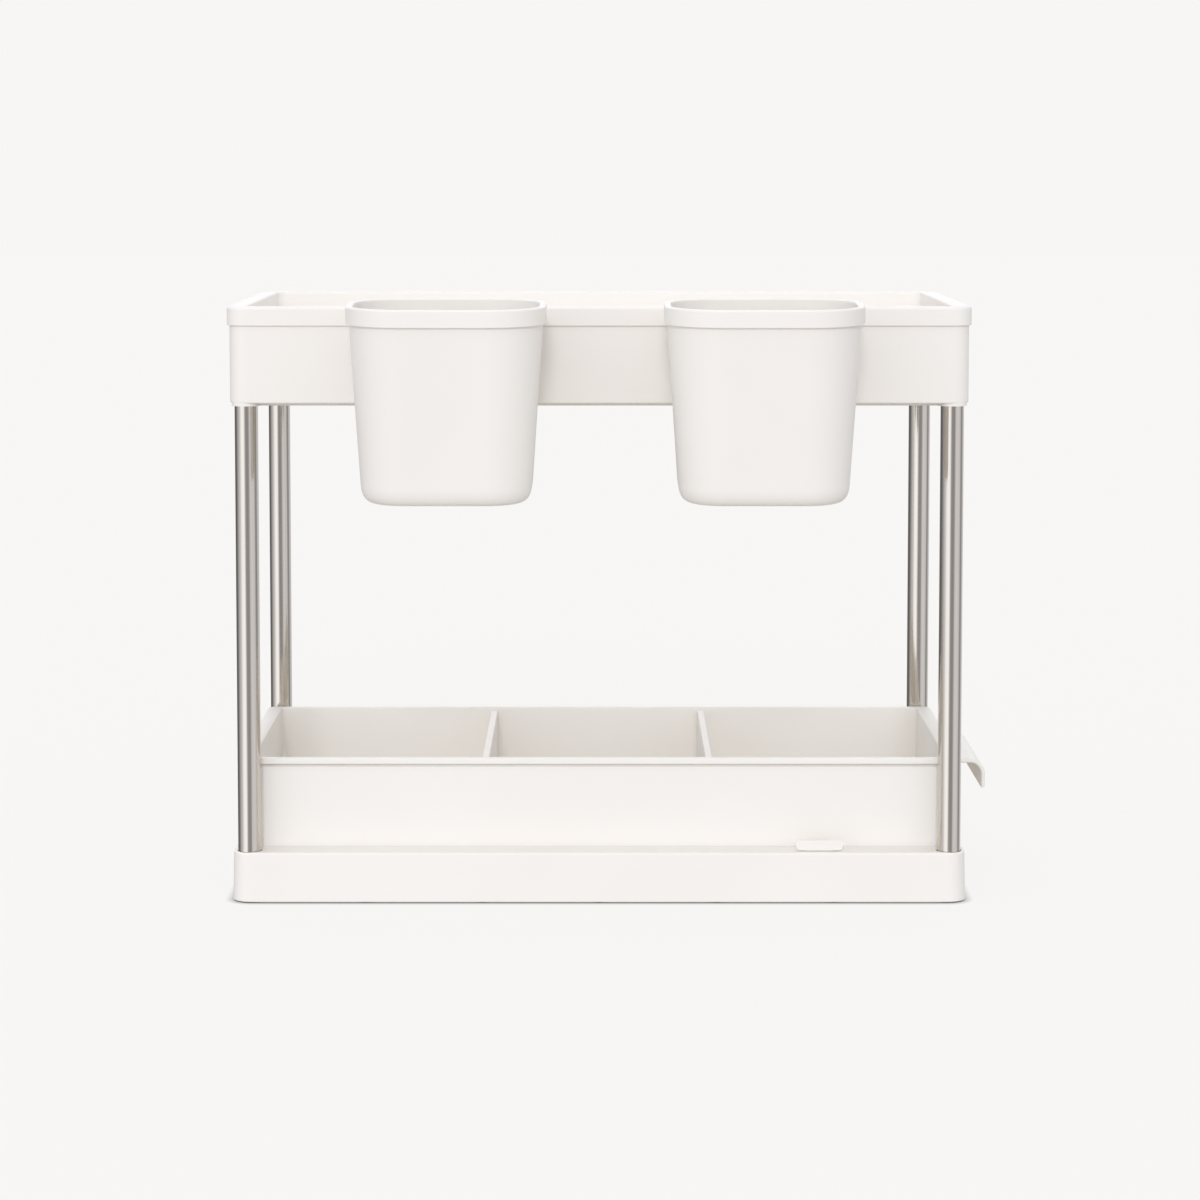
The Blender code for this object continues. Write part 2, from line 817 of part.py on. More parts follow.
def cup_lean():
    """Angle at which the cup's band rests on the tray's band and its wall on the skirt."""
    step_out = tray_band_proud + cup_band_proud
    reach_down = cup_height - cup_foot_radius - cup_band_height
    return math.asin(step_out / reach_down)


def cup_place_y():
    """Y of the cup's origin, at the back of its rim."""
    band_lean = cup_band_height * math.sin(cup_lean())
    return -tray_half_y - tray_band_proud - seat_gap - band_lean


def cup_place_z():
    """Z of the cup's origin, at the top of its rim."""
    return tray_top + seat_gap + (hook_drop + hook_thickness) * math.cos(cup_lean())


def cup_ring(inset, depth):
    """Ring of the cup's body wall moved in by an inset, at a depth below the rim.

    The back wall is upright and the other three walls are drafted.
    """
    drafted = max(depth - cup_band_height, 0) * math.tan(math.radians(cup_draft_deg))
    half_x = cup_width / 2 - cup_band_proud - drafted - inset
    full_y = cup_depth - 2 * cup_band_proud - drafted - 2 * inset
    corner = cup_corner - cup_band_proud - drafted - inset
    middle_y = -cup_band_proud - inset - full_y / 2
    return (half_x, full_y / 2, corner, -depth, middle_y)


def cup_tub_mesh():
    """Skin from the outer floor up the wall, round the band and rim and down the inside."""
    rings = []
    for angle in quarter_steps(fillet_steps):
        inset = cup_foot_radius * (1 - math.sin(angle))
        depth = cup_height - cup_foot_radius * (1 - math.cos(angle))
        rings.append(cup_ring(inset, depth))
    rings.append(cup_ring(0, cup_band_height))
    rings.append(cup_ring(-cup_band_proud, cup_band_height))
    for angle in quarter_steps(edge_steps):
        inset = cup_rim_radius * (1 - math.cos(angle)) - cup_band_proud
        depth = cup_rim_radius * (1 - math.sin(angle))
        rings.append(cup_ring(inset, depth))
    for angle in quarter_steps(edge_steps):
        inset = cup_wall - cup_rim_radius * (1 - math.sin(angle))
        depth = cup_rim_radius * (1 - math.cos(angle))
        rings.append(cup_ring(inset, depth))
    rings.append(cup_ring(cup_wall, cup_band_height))
    inner_radius = cup_foot_radius - cup_wall
    for angle in reversed(quarter_steps(fillet_steps)):
        inset = cup_wall + inner_radius * (1 - math.sin(angle))
        depth = cup_height - cup_wall - inner_radius * (1 - math.cos(angle))
        rings.append(cup_ring(inset, depth))
    return ring_mesh("cup", rings, cup_corner_steps)


def hook_mesh():
    """Hook behind the rim: a bridge over the tray's rim and a tongue down inside it."""
    inner_face = -cup_place_y() - tray_inner_y + hook_play
    outer_face = inner_face + hook_tongue
    top = -hook_drop
    under = top - hook_thickness
    corner = (outer_face - hook_corner, top - hook_corner)
    root = -cup_band_proud / 2
    outline = [(root, under), (inner_face, under), (inner_face, top - hook_depth)]
    outline.append((outer_face, top - hook_depth))
    outline.extend(arc_points(corner, hook_corner, 0, 90, fillet_steps))
    outline.append((root, top))
    return plate_mesh("hook", outline, hook_width, upright_along_x)


def add_cups():
    """Two alike cups, leaning back on the skirt as their hooks let them hang."""
    for name, x in (("cup_left", cup_left_x), ("cup_right", cup_right_x)):
        cup = add_plastic_part(name, cup_tub_mesh())
        join(cup, "hook", hook_mesh())
        cup.location = (x, cup_place_y(), cup_place_z())
        cup.rotation_euler = (cup_lean(), 0, 0)


def add_badge():
    """Bare badge plate that stands on the deck, with a peg into its slot."""
    half_x = badge_width / 2
    low = base_top + seat_gap
    high = low + badge_height
    outline = [(half_x, high), (-half_x, high)]
    left = (-half_x + badge_corner, low + badge_corner)
    right = (half_x - badge_corner, low + badge_corner)
    outline.extend(arc_points(left, badge_corner, 180, 270, fillet_steps))
    outline.extend(arc_points(right, badge_corner, 270, 360, fillet_steps))
    badge = add_plastic_part("badge", plate_mesh("badge", outline, badge_thickness, upright_along_y))
    badge.location = (badge_x, badge_middle_y(), 0)
    peg_low = (-badge_peg_width / 2, -badge_peg_thickness / 2, low - badge_peg_length)
    peg_high = (badge_peg_width / 2, badge_peg_thickness / 2, low + weld_depth)
    join(badge, "peg", box_mesh("peg", [(peg_low, peg_high)]))


def shade_round_parts():
    """Smooth shading with sharp edges kept."""
    for item in parts.objects:
        item.data.shade_smooth()
        item.data.set_sharp_from_angle(angle=math.radians(35))


def centre_assembly():
    """Hang every part on one empty, so that the origin lies under the middle of the box."""
    right = drawer_half_x + handle_reach
    left = -tray_half_x - tray_band_proud
    lean = cup_lean()
    rim_centre = (cup_depth - cup_rim_radius) * math.cos(lean) - cup_rim_radius * math.sin(lean)
    front = cup_place_y() - rim_centre - cup_rim_radius
    rear = tray_half_y + tray_band_proud
    frame = bpy.data.objects.new("organizer_frame", None)
    parts.objects.link(frame)
    frame.location = (-(right + left) / 2, -(front + rear) / 2, 0)
    for item in parts.objects:
        if item.type == "MESH":
            item.parent = frame


add_base()
add_feet()
add_posts_and_plugs()
add_base_screws()
add_drawer()
add_dividers()
add_top_tray()
add_cups()
add_badge()
shade_round_parts()
centre_assembly()
bpy.context.view_layer.update()
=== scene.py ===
import math

import bmesh
import bpy
from mathutils import Matrix, Vector


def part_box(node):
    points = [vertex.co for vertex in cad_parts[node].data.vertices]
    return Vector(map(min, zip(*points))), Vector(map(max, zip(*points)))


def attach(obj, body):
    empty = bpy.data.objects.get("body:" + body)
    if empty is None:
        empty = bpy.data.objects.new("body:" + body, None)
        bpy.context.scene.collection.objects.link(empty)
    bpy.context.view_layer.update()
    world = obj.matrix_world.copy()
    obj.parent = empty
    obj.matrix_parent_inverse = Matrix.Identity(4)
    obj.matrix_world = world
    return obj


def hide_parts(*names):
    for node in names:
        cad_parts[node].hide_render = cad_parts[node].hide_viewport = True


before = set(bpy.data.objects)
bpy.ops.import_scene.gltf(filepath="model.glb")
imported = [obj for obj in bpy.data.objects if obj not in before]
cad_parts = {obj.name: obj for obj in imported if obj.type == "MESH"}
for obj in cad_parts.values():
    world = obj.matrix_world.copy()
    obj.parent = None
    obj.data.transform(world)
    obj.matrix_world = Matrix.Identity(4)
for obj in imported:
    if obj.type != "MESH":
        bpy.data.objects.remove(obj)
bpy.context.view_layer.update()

# ---------------------------------------------------------------------------------------
# Base. A channel of white polypropylene, moulded in one shot: a floor, a hollow rail along
# each long side, a low wall at the closed end and sockets that take the steel tubes.
# It is ribbed from below and stands on four rubber feet.
# ---------------------------------------------------------------------------------------

# Every piece is drawn in millimetres about the middle of the base's footprint
base_low, base_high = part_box("base")
millimetres = Matrix.Scale(0.001, 4)
middle_x, middle_y = (base_low.x + base_high.x) / 2, (base_low.y + base_high.y) / 2
to_frame = Matrix.Translation((middle_x, middle_y, 0)) @ millimetres


def linear(code):
    """An sRGB hex colour as the linear values that a socket takes."""
    shares = [int(code[start:start + 2], 16) / 255 for start in (1, 3, 5)]
    rgb = [s / 12.92 if s <= 0.04045 else ((s + 0.055) / 1.055) ** 2.4 for s in shares]
    return (*rgb, 1.0)


def add_node(tree, kind, settings=None, inputs=None):
    """A node with its settings, and its inputs as values or as sockets to link from."""
    node = tree.nodes.new(kind)
    for name, value in (settings or {}).items():
        setattr(node, name, value)
    for name, value in (inputs or {}).items():
        if isinstance(value, bpy.types.NodeSocket):
            tree.links.new(value, node.inputs[name])
        else:
            node.inputs[name].default_value = value
    return node


def moulded_polypropylene(name, white, flow_white, seed):
    """Polypropylene from a spark-eroded mould: a warm matte white that reflects weakly.

    Where the melt ran, the white drifts by a shade over 85 mm and the gloss over 22 mm. The
    mould's etched skin breaks the gloss: its real grain is 0.1 mm, drawn at 0.5 mm to show.
    """
    flow_size, cloud_size, grain_size = 0.085, 0.022, 0.0005
    material = bpy.data.materials.new(name)
    material.use_nodes = True
    tree = material.node_tree
    shader = tree.nodes["Principled BSDF"]
    spot = add_node(tree, "ShaderNodeTexCoord").outputs["Object"]
    shifted = add_node(tree, "ShaderNodeMapping", None, {
        "Vector": spot, "Location": (seed, -seed, 0.5 * seed)})
    place = shifted.outputs["Vector"]
    flow = add_node(tree, "ShaderNodeTexNoise", None, {
        "Vector": place, "Scale": 1 / flow_size, "Detail": 2.0, "Roughness": 0.45,
        "Distortion": 0.6})
    tone = add_node(tree, "ShaderNodeMix", {"data_type": "RGBA"}, {
        0: flow.outputs["Fac"], "A": linear(white), "B": linear(flow_white)})
    tree.links.new(tone.outputs["Result"], shader.inputs["Base Color"])
    skin = add_node(tree, "ShaderNodeTexNoise", None, {
        "Vector": place, "Scale": 1 / grain_size, "Detail": 3.0, "Roughness": 0.6})
    cloud = add_node(tree, "ShaderNodeTexNoise", None, {
        "Vector": place, "Scale": 1 / cloud_size, "Detail": 3.0, "Roughness": 0.5})
    matte = add_node(tree, "ShaderNodeMapRange", None, {
        "Value": cloud.outputs["Fac"], "From Min": 0.3, "From Max": 0.7,
        "To Min": 0.46, "To Max": 0.56})
    tree.links.new(matte.outputs["Result"], shader.inputs["Roughness"])
    bump = add_node(tree, "ShaderNodeBump", None, {
        "Height": skin.outputs["Fac"], "Strength": 0.18, "Distance": 0.00003})
    tree.links.new(bump.outputs["Normal"], shader.inputs["Normal"])
    shader.inputs["IOR"].default_value = 1.49
    return material


def level_line(sizes, steps):
    """Points of a level line round a moulding: a rectangle with round corners.

    Its sizes are half its length and width, its corner radius, its height and its shift in Y.
    """
    half_x, half_y, corner, height, shift_y = sizes
    points = []
    for quarter, (side_x, side_y) in enumerate(((1, 1), (-1, 1), (-1, -1), (1, -1))):
        for step in range(steps + 1):
            angle = math.radians(90 * (quarter + step / steps))
            x = side_x * (half_x - corner) + corner * math.cos(angle)
            y = side_y * (half_y - corner) + corner * math.sin(angle) + shift_y
            points.append((x, y, height))
    return points


def softened(knots):
    """The level lines of a wall section, with its corners rounded off.

    A knot is a level line, how far along the section to each side of it the corner is rounded
    off, and in how many steps.
    """
    lines = []
    for number, (here, soft, steps) in enumerate(knots):
        if not soft:
            lines.append(here)
            continue
        before, after = knots[number - 1][0], knots[number + 1][0]
        start = share_of_way(here, before, soft)
        end = share_of_way(here, after, soft)
        for step in range(steps + 1):
            t = step / steps
            lines.append([
                (1 - t) ** 2 * a + 2 * t * (1 - t) * b + t * t * c
                for a, b, c in zip(start, here, end)])
    return lines


def share_of_way(here, there, length):
    """The level line that lies a length along the section from one knot to the next.

    It stays short of halfway, so that two roundings never meet.
    """
    run = math.hypot(there[1] - here[1], there[3] - here[3])
    share = min(length / run, 0.49)
    return [a + (b - a) * share for a, b in zip(here, there)]


def moulded_wall(name, knots, steps=16):
    """A closed solid whose skin follows a wall section round a rounded rectangle."""
    builder = bmesh.new()
    rows = [[builder.verts.new(p) for p in level_line(line, steps)] for line in softened(knots)]
    for lower, upper in zip(rows, rows[1:]):
        for here in range(len(lower)):
            beside = (here + 1) % len(lower)
            builder.faces.new((lower[here], lower[beside], upper[beside], upper[here]))
    builder.faces.new(rows[0][::-1])
    builder.faces.new(rows[-1])
    bmesh.ops.recalc_face_normals(builder, faces=builder.faces)
    mesh = bpy.data.meshes.new(name)
    builder.to_mesh(mesh)
    builder.free()
    piece = bpy.data.objects.new(name, mesh)
    bpy.context.scene.collection.objects.link(piece)
    return piece


def baked(piece):
    """The piece's evaluated shape as a plain mesh."""
    depsgraph = bpy.context.evaluated_depsgraph_get()
    depsgraph.update()
    return bpy.data.meshes.new_from_object(piece.evaluated_get(depsgraph))


def shaped(piece, tool, operation):
    """Join a tool on to a piece, or take it out of it, and drop the tool."""
    modifier = piece.modifiers.new("shape", "BOOLEAN")
    modifier.operation = operation
    modifier.solver = "EXACT"
    modifier.object = tool
    piece.data = baked(piece)
    piece.modifiers.clear()
    bpy.data.objects.remove(tool, do_unlink=True)
    return piece


def blocks(corners, rods=()):
    """A tool of boxes between opposite corners, and of upright rods (x, y, radius, low, high)."""
    builder = bmesh.new()
    for low, high in corners:
        size = [b - a for a, b in zip(low, high)]
        middle = [(a + b) / 2 for a, b in zip(low, high)]
        place = Matrix.Translation(middle) @ Matrix.Diagonal((*size, 1))
        bmesh.ops.create_cube(builder, size=1, matrix=place)
    for x, y, radius, low, high in rods:
        place = Matrix.Translation((x, y, (low + high) / 2))
        bmesh.ops.create_cone(
            builder, cap_ends=True, segments=48, radius1=radius, radius2=radius,
            depth=high - low, matrix=place)
    mesh = bpy.data.meshes.new("tool")
    builder.to_mesh(mesh)
    builder.free()
    tool = bpy.data.objects.new("tool", mesh)
    bpy.context.scene.collection.objects.link(tool)
    return tool


def grown(name, tree, profile, inputs):
    """The shape that a geometry tree makes from a line of points, as a plain object."""
    line = bpy.data.meshes.new(name)
    line.from_pydata(profile, [(spot, spot + 1) for spot in range(len(profile) - 1)], [])
    piece = bpy.data.objects.new(name, line)
    bpy.context.scene.collection.objects.link(piece)
    modifier = piece.modifiers.new("grow", "NODES")
    modifier.node_group = tree
    sockets = {s.name: s.identifier for s in tree.interface.items_tree if s.in_out == "INPUT"}
    for label, value in inputs.items():
        modifier[sockets[label]] = value
    piece.data = baked(piece)
    piece.modifiers.clear()
    return piece


def new_geometry_tree(name, inputs):
    """A geometry tree with named inputs, and its group nodes for input and output."""
    tree = bpy.data.node_groups.new(name, "GeometryNodeTree")
    tree.interface.new_socket("Geometry", in_out="INPUT", socket_type="NodeSocketGeometry")
    tree.interface.new_socket("Geometry", in_out="OUTPUT", socket_type="NodeSocketGeometry")
    for label, kind in inputs.items():
        tree.interface.new_socket(label, in_out="INPUT", socket_type="NodeSocket" + kind)
    return tree, tree.nodes.new("NodeGroupInput").outputs


def close_tree(tree, geometry, material):
    """End a tree: its instances made real, its material set."""
    real = add_node(tree, "GeometryNodeRealizeInstances", None, {"Geometry": geometry})
    dressed = add_node(tree, "GeometryNodeSetMaterial", None, {
        "Geometry": real.outputs["Geometry"], "Material": material})
    add_node(tree, "NodeGroupOutput", None, {"Geometry": dressed.outputs["Geometry"]})


def row_of_blocks_tree():
    """Equal blocks in a row along X: the cells between a moulding's ribs, or the ribs."""
    tree, given = new_geometry_tree("row_of_blocks", {
        "First": "Vector", "Pitch": "Float", "Count": "Int", "Size": "Vector",
        "Material": "Material"})
    step = add_node(tree, "ShaderNodeCombineXYZ", None, {"X": given["Pitch"]})
    row = add_node(tree, "GeometryNodeMeshLine", None, {
        "Count": given["Count"], "Start Location": given["First"],
        "Offset": step.outputs["Vector"]})
    block = add_node(tree, "GeometryNodeMeshCube", None, {"Size": given["Size"]})
    placed = add_node(tree, "GeometryNodeInstanceOnPoints", None, {
        "Points": row.outputs["Mesh"], "Instance": block.outputs["Mesh"]})
    close_tree(tree, placed.outputs["Instances"], given["Material"])
    return tree


def finished(piece, name, material, crease=32.0, turn=Matrix.Identity(4)):
    """Put a drawn piece in its place in metres, shade it and give it its material."""
    mesh = piece.data
    mesh.transform(to_frame @ turn)
    mesh.materials.clear()
    mesh.materials.append(material)
    mesh.polygons.foreach_set("material_index", [0] * len(mesh.polygons))
    mesh.shade_smooth()
    mesh.set_sharp_from_angle(angle=math.radians(crease))
    weighted = piece.modifiers.new("flat_faces_stay_flat", "WEIGHTED_NORMAL")
    weighted.keep_sharp = True
    weighted.weight = 90
    piece.data = baked(piece)
    piece.modifiers.clear()
    piece.name = name
    piece.data.name = name
    return piece


white = "#F3F0EA"
white_drift = "#EFEBE4"
base_plastic = moulded_polypropylene("base_polypropylene", white, white_drift, 0.0)
row_of_blocks = row_of_blocks_tree()

tube_x, tube_y = 182.0, 97.0
tube_corners = [(sx * tube_x, sy * tube_y) for sy in (-1, 1) for sx in (-1, 1)]
foot_x, foot_y = 150.9, 72.0
foot_corners = [(sx * foot_x, sy * foot_y) for sy in (-1, 1) for sx in (-1, 1)]

# The block, drafted by 0.6 mm, and the channel that the drawer slides in
underside, deck = 0.6, 26.5
channel_left, channel_side = -188.0, 88.0
base = moulded_wall("base_moulding", [
    ((186.0, 100.0, 6.0, underside, 0), 0, 0),
    ((190.9, 105.0, 10.0, underside, 0), 0.6, 3),
    ((190.3, 104.4, 9.4, deck, 0), 1.45, 6),
    ((184.0, 98.0, 4.0, deck, 0), 0, 0),
])
channel = blocks([((channel_left, -channel_side, 5.0), (200.0, channel_side, 40.0))])
shaped(base, channel, "DIFFERENCE")

# Cells between thin ribs lighten the rails and the floor from below
rib = 1.6
rail_pitch = (2 * tube_x + rib) / 6
rail_low, rail_high = 91.5, 102.2
rail_cell_top = 24.1
for side in (-1, 1):
    cells = grown("rail_cells", row_of_blocks, [], {
        "First": (-tube_x + (rail_pitch - rib) / 2, side * (rail_low + rail_high) / 2,
                  rail_cell_top / 2),
        "Pitch": rail_pitch, "Count": 6,
        "Size": (rail_pitch - rib, rail_high - rail_low, rail_cell_top),
        "Material": base_plastic})
    shaped(base, cells, "DIFFERENCE")
floor_right = 188.7
floor_pitch = (floor_right - channel_left + rib) / 4
cells = grown("floor_cells", row_of_blocks, [], {
    "First": (channel_left + (floor_pitch - rib) / 2, 0, 0.4),
    "Pitch": floor_pitch, "Count": 4,
    "Size": (floor_pitch - rib, 2 * channel_side, 4.8), "Material": base_plastic})
shaped(base, cells, "DIFFERENCE")

# Sockets for the tubes and seats for the feet: first their walls, then their bores, and in
# each socket's floor a screw's hole with a wider seat for its head
socket_radius, socket_bore = 7.4, 6.5
seat_radius, seat_bore = 8.8, 7.3
screw_hole, screw_head_seat = 2.2, 4.2
shaped(base, blocks([], [(x, y, socket_radius, 3.5, 25.3) for x, y in tube_corners]
                    + [(x, y, seat_radius, underside, 3.3) for x, y in foot_corners]), "UNION")
shaped(base, blocks([], [(x, y, socket_bore, 6.0, 30.5) for x, y in tube_corners]
                    + [(x, y, seat_bore, 0, 2.8) for x, y in foot_corners]), "DIFFERENCE")
for radius, depth in ((screw_hole, 10.0), (screw_head_seat, 3.5)):
    drilled = blocks([], [(x, y, radius, 0, depth) for x, y in tube_corners])
    shaped(base, drilled, "DIFFERENCE")

# Grooves for the drawer's studs, two stops at the closed end, and the badge's slot
groove_y, groove_reach = 87.1, 3.1
grooves = blocks([
    ((-170.0, side * groove_y - groove_reach, 9.7), (130.3, side * groove_y + groove_reach, 14.9))
    for side in (-1, 1)])
shaped(base, grooves, "DIFFERENCE")
stop_y, stop_half = 45.0, 1.5
closing_stops = blocks([
    ((-188.5, side * stop_y - stop_half, 4.5), (-183.3, side * stop_y + stop_half, 19.0))
    for side in (-1, 1)])
shaped(base, closing_stops, "UNION")
badge_slot = blocks([((107.3, -100.45, 21.2), (121.9, -98.05, 30.5))])
shaped(base, badge_slot, "DIFFERENCE")
finished(base, "base_moulding", base_plastic)
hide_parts("base")
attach(base, "frame")

# ---------------------------------------------------------------------------------------
# Rubber feet. Four moulded pads of dark rubber, pushed into round seats under the floor,
# each with a shallow hollow in its sole that lets it grip.
# ---------------------------------------------------------------------------------------


def turned_at_corners_tree():
    """A turned part at each of four corners, from its half profile as a line of points.

    A point's X is the radius there, and the profile runs from the top down.
    """
    tree, given = new_geometry_tree("turned_at_corners", {
        "Span X": "Float", "Span Y": "Float", "Fineness": "Int", "Material": "Material"})
    spot = add_node(tree, "GeometryNodeInputPosition").outputs["Position"]
    split = add_node(tree, "ShaderNodeSeparateXYZ", None, {"Vector": spot})
    line = add_node(tree, "GeometryNodeMeshToCurve", None, {"Mesh": given["Geometry"]})
    radius = add_node(tree, "GeometryNodeSetCurveRadius", None, {
        "Curve": line.outputs["Curve"], "Radius": split.outputs["X"]})
    axis = add_node(tree, "ShaderNodeCombineXYZ", None, {"Z": split.outputs["Z"]})
    straight = add_node(tree, "GeometryNodeSetPosition", None, {
        "Geometry": radius.outputs["Curve"], "Position": axis.outputs["Vector"]})
    circle = add_node(tree, "GeometryNodeCurvePrimitiveCircle", None, {
        "Resolution": given["Fineness"], "Radius": 1.0})
    radius_here = add_node(tree, "GeometryNodeInputRadius")
    skin = add_node(tree, "GeometryNodeCurveToMesh", None, {
        "Curve": straight.outputs["Geometry"], "Profile Curve": circle.outputs["Curve"],
        "Scale": radius_here.outputs["Radius"], "Fill Caps": True})
    corners = add_node(tree, "GeometryNodeMeshGrid", None, {
        "Size X": given["Span X"], "Size Y": given["Span Y"], "Vertices X": 2, "Vertices Y": 2})
    placed = add_node(tree, "GeometryNodeInstanceOnPoints", None, {
        "Points": corners.outputs["Mesh"], "Instance": skin.outputs["Mesh"]})
    close_tree(tree, placed.outputs["Instances"], given["Material"])
    return tree


def foot_rubber():
    """Soft thermoplastic rubber: near-black, dull, with a dusty bloom in 4 mm patches.

    Its moulded grain of 0.1 mm is drawn at 0.4 mm to show.
    """
    bloom_size, grain_size = 0.004, 0.0004
    material = bpy.data.materials.new("moulded_rubber")
    material.use_nodes = True
    tree = material.node_tree
    shader = tree.nodes["Principled BSDF"]
    spot = add_node(tree, "ShaderNodeTexCoord").outputs["Object"]
    bloom = add_node(tree, "ShaderNodeTexNoise", None, {
        "Vector": spot, "Scale": 1 / bloom_size, "Detail": 4.0})
    tone = add_node(tree, "ShaderNodeMix", {"data_type": "RGBA"}, {
        0: bloom.outputs["Fac"], "A": linear("#2B2A29"), "B": linear("#413F3C")})
    tree.links.new(tone.outputs["Result"], shader.inputs["Base Color"])
    grain = add_node(tree, "ShaderNodeTexNoise", None, {
        "Vector": spot, "Scale": 1 / grain_size, "Detail": 2.0})
    bump = add_node(tree, "ShaderNodeBump", None, {
        "Height": grain.outputs["Fac"], "Strength": 0.5, "Distance": 0.00004})
    tree.links.new(bump.outputs["Normal"], shader.inputs["Normal"])
    shader.inputs["Roughness"].default_value = 0.82
    shader.inputs["IOR"].default_value = 1.52
    return material


turned_at_corners = turned_at_corners_tree()
rubber = foot_rubber()
corner_names = ("front_left", "front_right", "rear_left", "rear_right")
foot_profile = [
    (6.6, 0, 2.5), (6.9, 0, 2.4), (7.0, 0, 2.1), (7.0, 0, 0.5), (6.85, 0, 0.15), (6.5, 0, 0.0)]
feet = grown("rubber_feet", turned_at_corners, foot_profile, {
    "Span X": 2 * foot_x, "Span Y": 2 * foot_y, "Fineness": 40, "Material": rubber})
sole_hollows = blocks([], [(x, y, 4.4, -1.0, 0.35) for x, y in foot_corners])
shaped(feet, sole_hollows, "DIFFERENCE")
finished(feet, "rubber_feet", rubber)
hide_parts(*["foot_" + corner for corner in corner_names])
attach(feet, "frame")

# ---------------------------------------------------------------------------------------
# Tubes. Four welded stainless tubes, 12 mm across with a 0.8 mm wall, linished lengthwise
# so that they mirror the room in long soft streaks. Their ends are plugged and unseen.
# ---------------------------------------------------------------------------------------


def linished_stainless():
    """Stainless tube, belt-linished lengthwise: hairlines run up the tube.

    Each hairline tilts the surface sideways a little, so reflections smear across the tube
    and stay crisp along it. Real lines are 0.05 mm apart; they are drawn at 0.35 mm to show,
    and wider streaks of 1.6 mm vary the gloss.
    """
    hairline_size, streak_size = 0.00035, 0.0016
    material = bpy.data.materials.new("linished_stainless_steel")
    material.use_nodes = True
    tree = material.node_tree
    shader = tree.nodes["Principled BSDF"]
    spot = add_node(tree, "ShaderNodeTexCoord").outputs["Object"]
    stretched = add_node(tree, "ShaderNodeMapping", None, {
        "Vector": spot, "Scale": (1.0, 1.0, 0.006)})
    hairline = add_node(tree, "ShaderNodeTexNoise", None, {
        "Vector": stretched.outputs["Vector"], "Scale": 1 / hairline_size, "Detail": 3.0,
        "Roughness": 0.65})
    streak = add_node(tree, "ShaderNodeTexNoise", None, {
        "Vector": stretched.outputs["Vector"], "Scale": 1 / streak_size, "Detail": 2.0})
    tone = add_node(tree, "ShaderNodeMix", {"data_type": "RGBA"}, {
        0: hairline.outputs["Fac"], "A": linear("#C7C0B6"), "B": linear("#DCD6CD")})
    tree.links.new(tone.outputs["Result"], shader.inputs["Base Color"])
    gloss = add_node(tree, "ShaderNodeMapRange", None, {
        "Value": streak.outputs["Fac"], "From Min": 0.3, "From Max": 0.7,
        "To Min": 0.09, "To Max": 0.14})
    tree.links.new(gloss.outputs["Result"], shader.inputs["Roughness"])
    bump = add_node(tree, "ShaderNodeBump", None, {
        "Height": hairline.outputs["Fac"], "Strength": 0.25, "Distance": 0.00001})
    tree.links.new(bump.outputs["Normal"], shader.inputs["Normal"])
    shader.inputs["Metallic"].default_value = 1.0
    return material


steel = linished_stainless()
tube_radius, bore_radius = 6.0, 5.2
tube_low, tube_high = (corner.z * 1000 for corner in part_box("post_front_left"))
tube_spread = {"Span X": 2 * tube_x, "Span Y": 2 * tube_y, "Fineness": 64, "Material": steel}
tubes = grown("steel_tubes", turned_at_corners, [
    (tube_radius, 0, tube_high), (tube_radius, 0, tube_low)], tube_spread)
bores = grown("bores", turned_at_corners, [
    (bore_radius, 0, tube_high + 1), (bore_radius, 0, tube_low - 1)], tube_spread)
shaped(tubes, bores, "DIFFERENCE")
finished(tubes, "steel_tubes", steel)
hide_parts(*["post_" + corner for corner in corner_names])
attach(tubes, "frame")

# ---------------------------------------------------------------------------------------
# Plugs and screws. A dark plug closes each tube end, and a zinc-plated pan-head screw runs
# up through the base into each lower plug. Only the screw heads can be seen, from below.
# ---------------------------------------------------------------------------------------


def plain_finish(name, dark, light, roughness, metallic, spacing):
    """A small part's finish: two close tones in a fine mottle, with a light orange peel.

    The spacing of the mottle is in metres.
    """
    material = bpy.data.materials.new(name)
    material.use_nodes = True
    tree = material.node_tree
    shader = tree.nodes["Principled BSDF"]
    spot = add_node(tree, "ShaderNodeTexCoord").outputs["Object"]
    mottle = add_node(tree, "ShaderNodeTexNoise", None, {
        "Vector": spot, "Scale": 1 / spacing, "Detail": 3.0})
    tone = add_node(tree, "ShaderNodeMix", {"data_type": "RGBA"}, {
        0: mottle.outputs["Fac"], "A": linear(dark), "B": linear(light)})
    tree.links.new(tone.outputs["Result"], shader.inputs["Base Color"])
    bump = add_node(tree, "ShaderNodeBump", None, {
        "Height": mottle.outputs["Fac"], "Strength": 0.2, "Distance": 0.00003})
    tree.links.new(bump.outputs["Normal"], shader.inputs["Normal"])
    shader.inputs["Roughness"].default_value = roughness
    shader.inputs["Metallic"].default_value = metallic
    return material


# Moulded polyethylene: near-black and half dull, so a tube's end looks dark and closed
plug_plastic = plain_finish("black_polyethylene", "#262626", "#323130", 0.5, 0.0, 0.003)
for corner in corner_names:
    for kind in ("lower_plug_", "upper_plug_"):
        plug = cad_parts[kind + corner]
        plug.data.materials.clear()
        plug.data.materials.append(plug_plastic)

# Bright zinc over pressed steel: a bluish grey metal with a soft gloss
zinc = plain_finish("bright_zinc_plate", "#B9BBBD", "#D2D3D2", 0.32, 1.0, 0.0012)
screw_profile = [
    (0.8, 0, 15.2), (1.8, 0, 14.2), (1.8, 0, 3.22), (3.2, 0, 3.21), (3.4, 0, 3.05),
    (3.4, 0, 2.3), (3.1, 0, 1.75), (2.4, 0, 1.4), (1.4, 0, 1.23), (0.4, 0, 1.2)]
screws = grown("base_screws", turned_at_corners, screw_profile, {
    "Span X": 2 * tube_x, "Span Y": 2 * tube_y, "Fineness": 32, "Material": zinc})

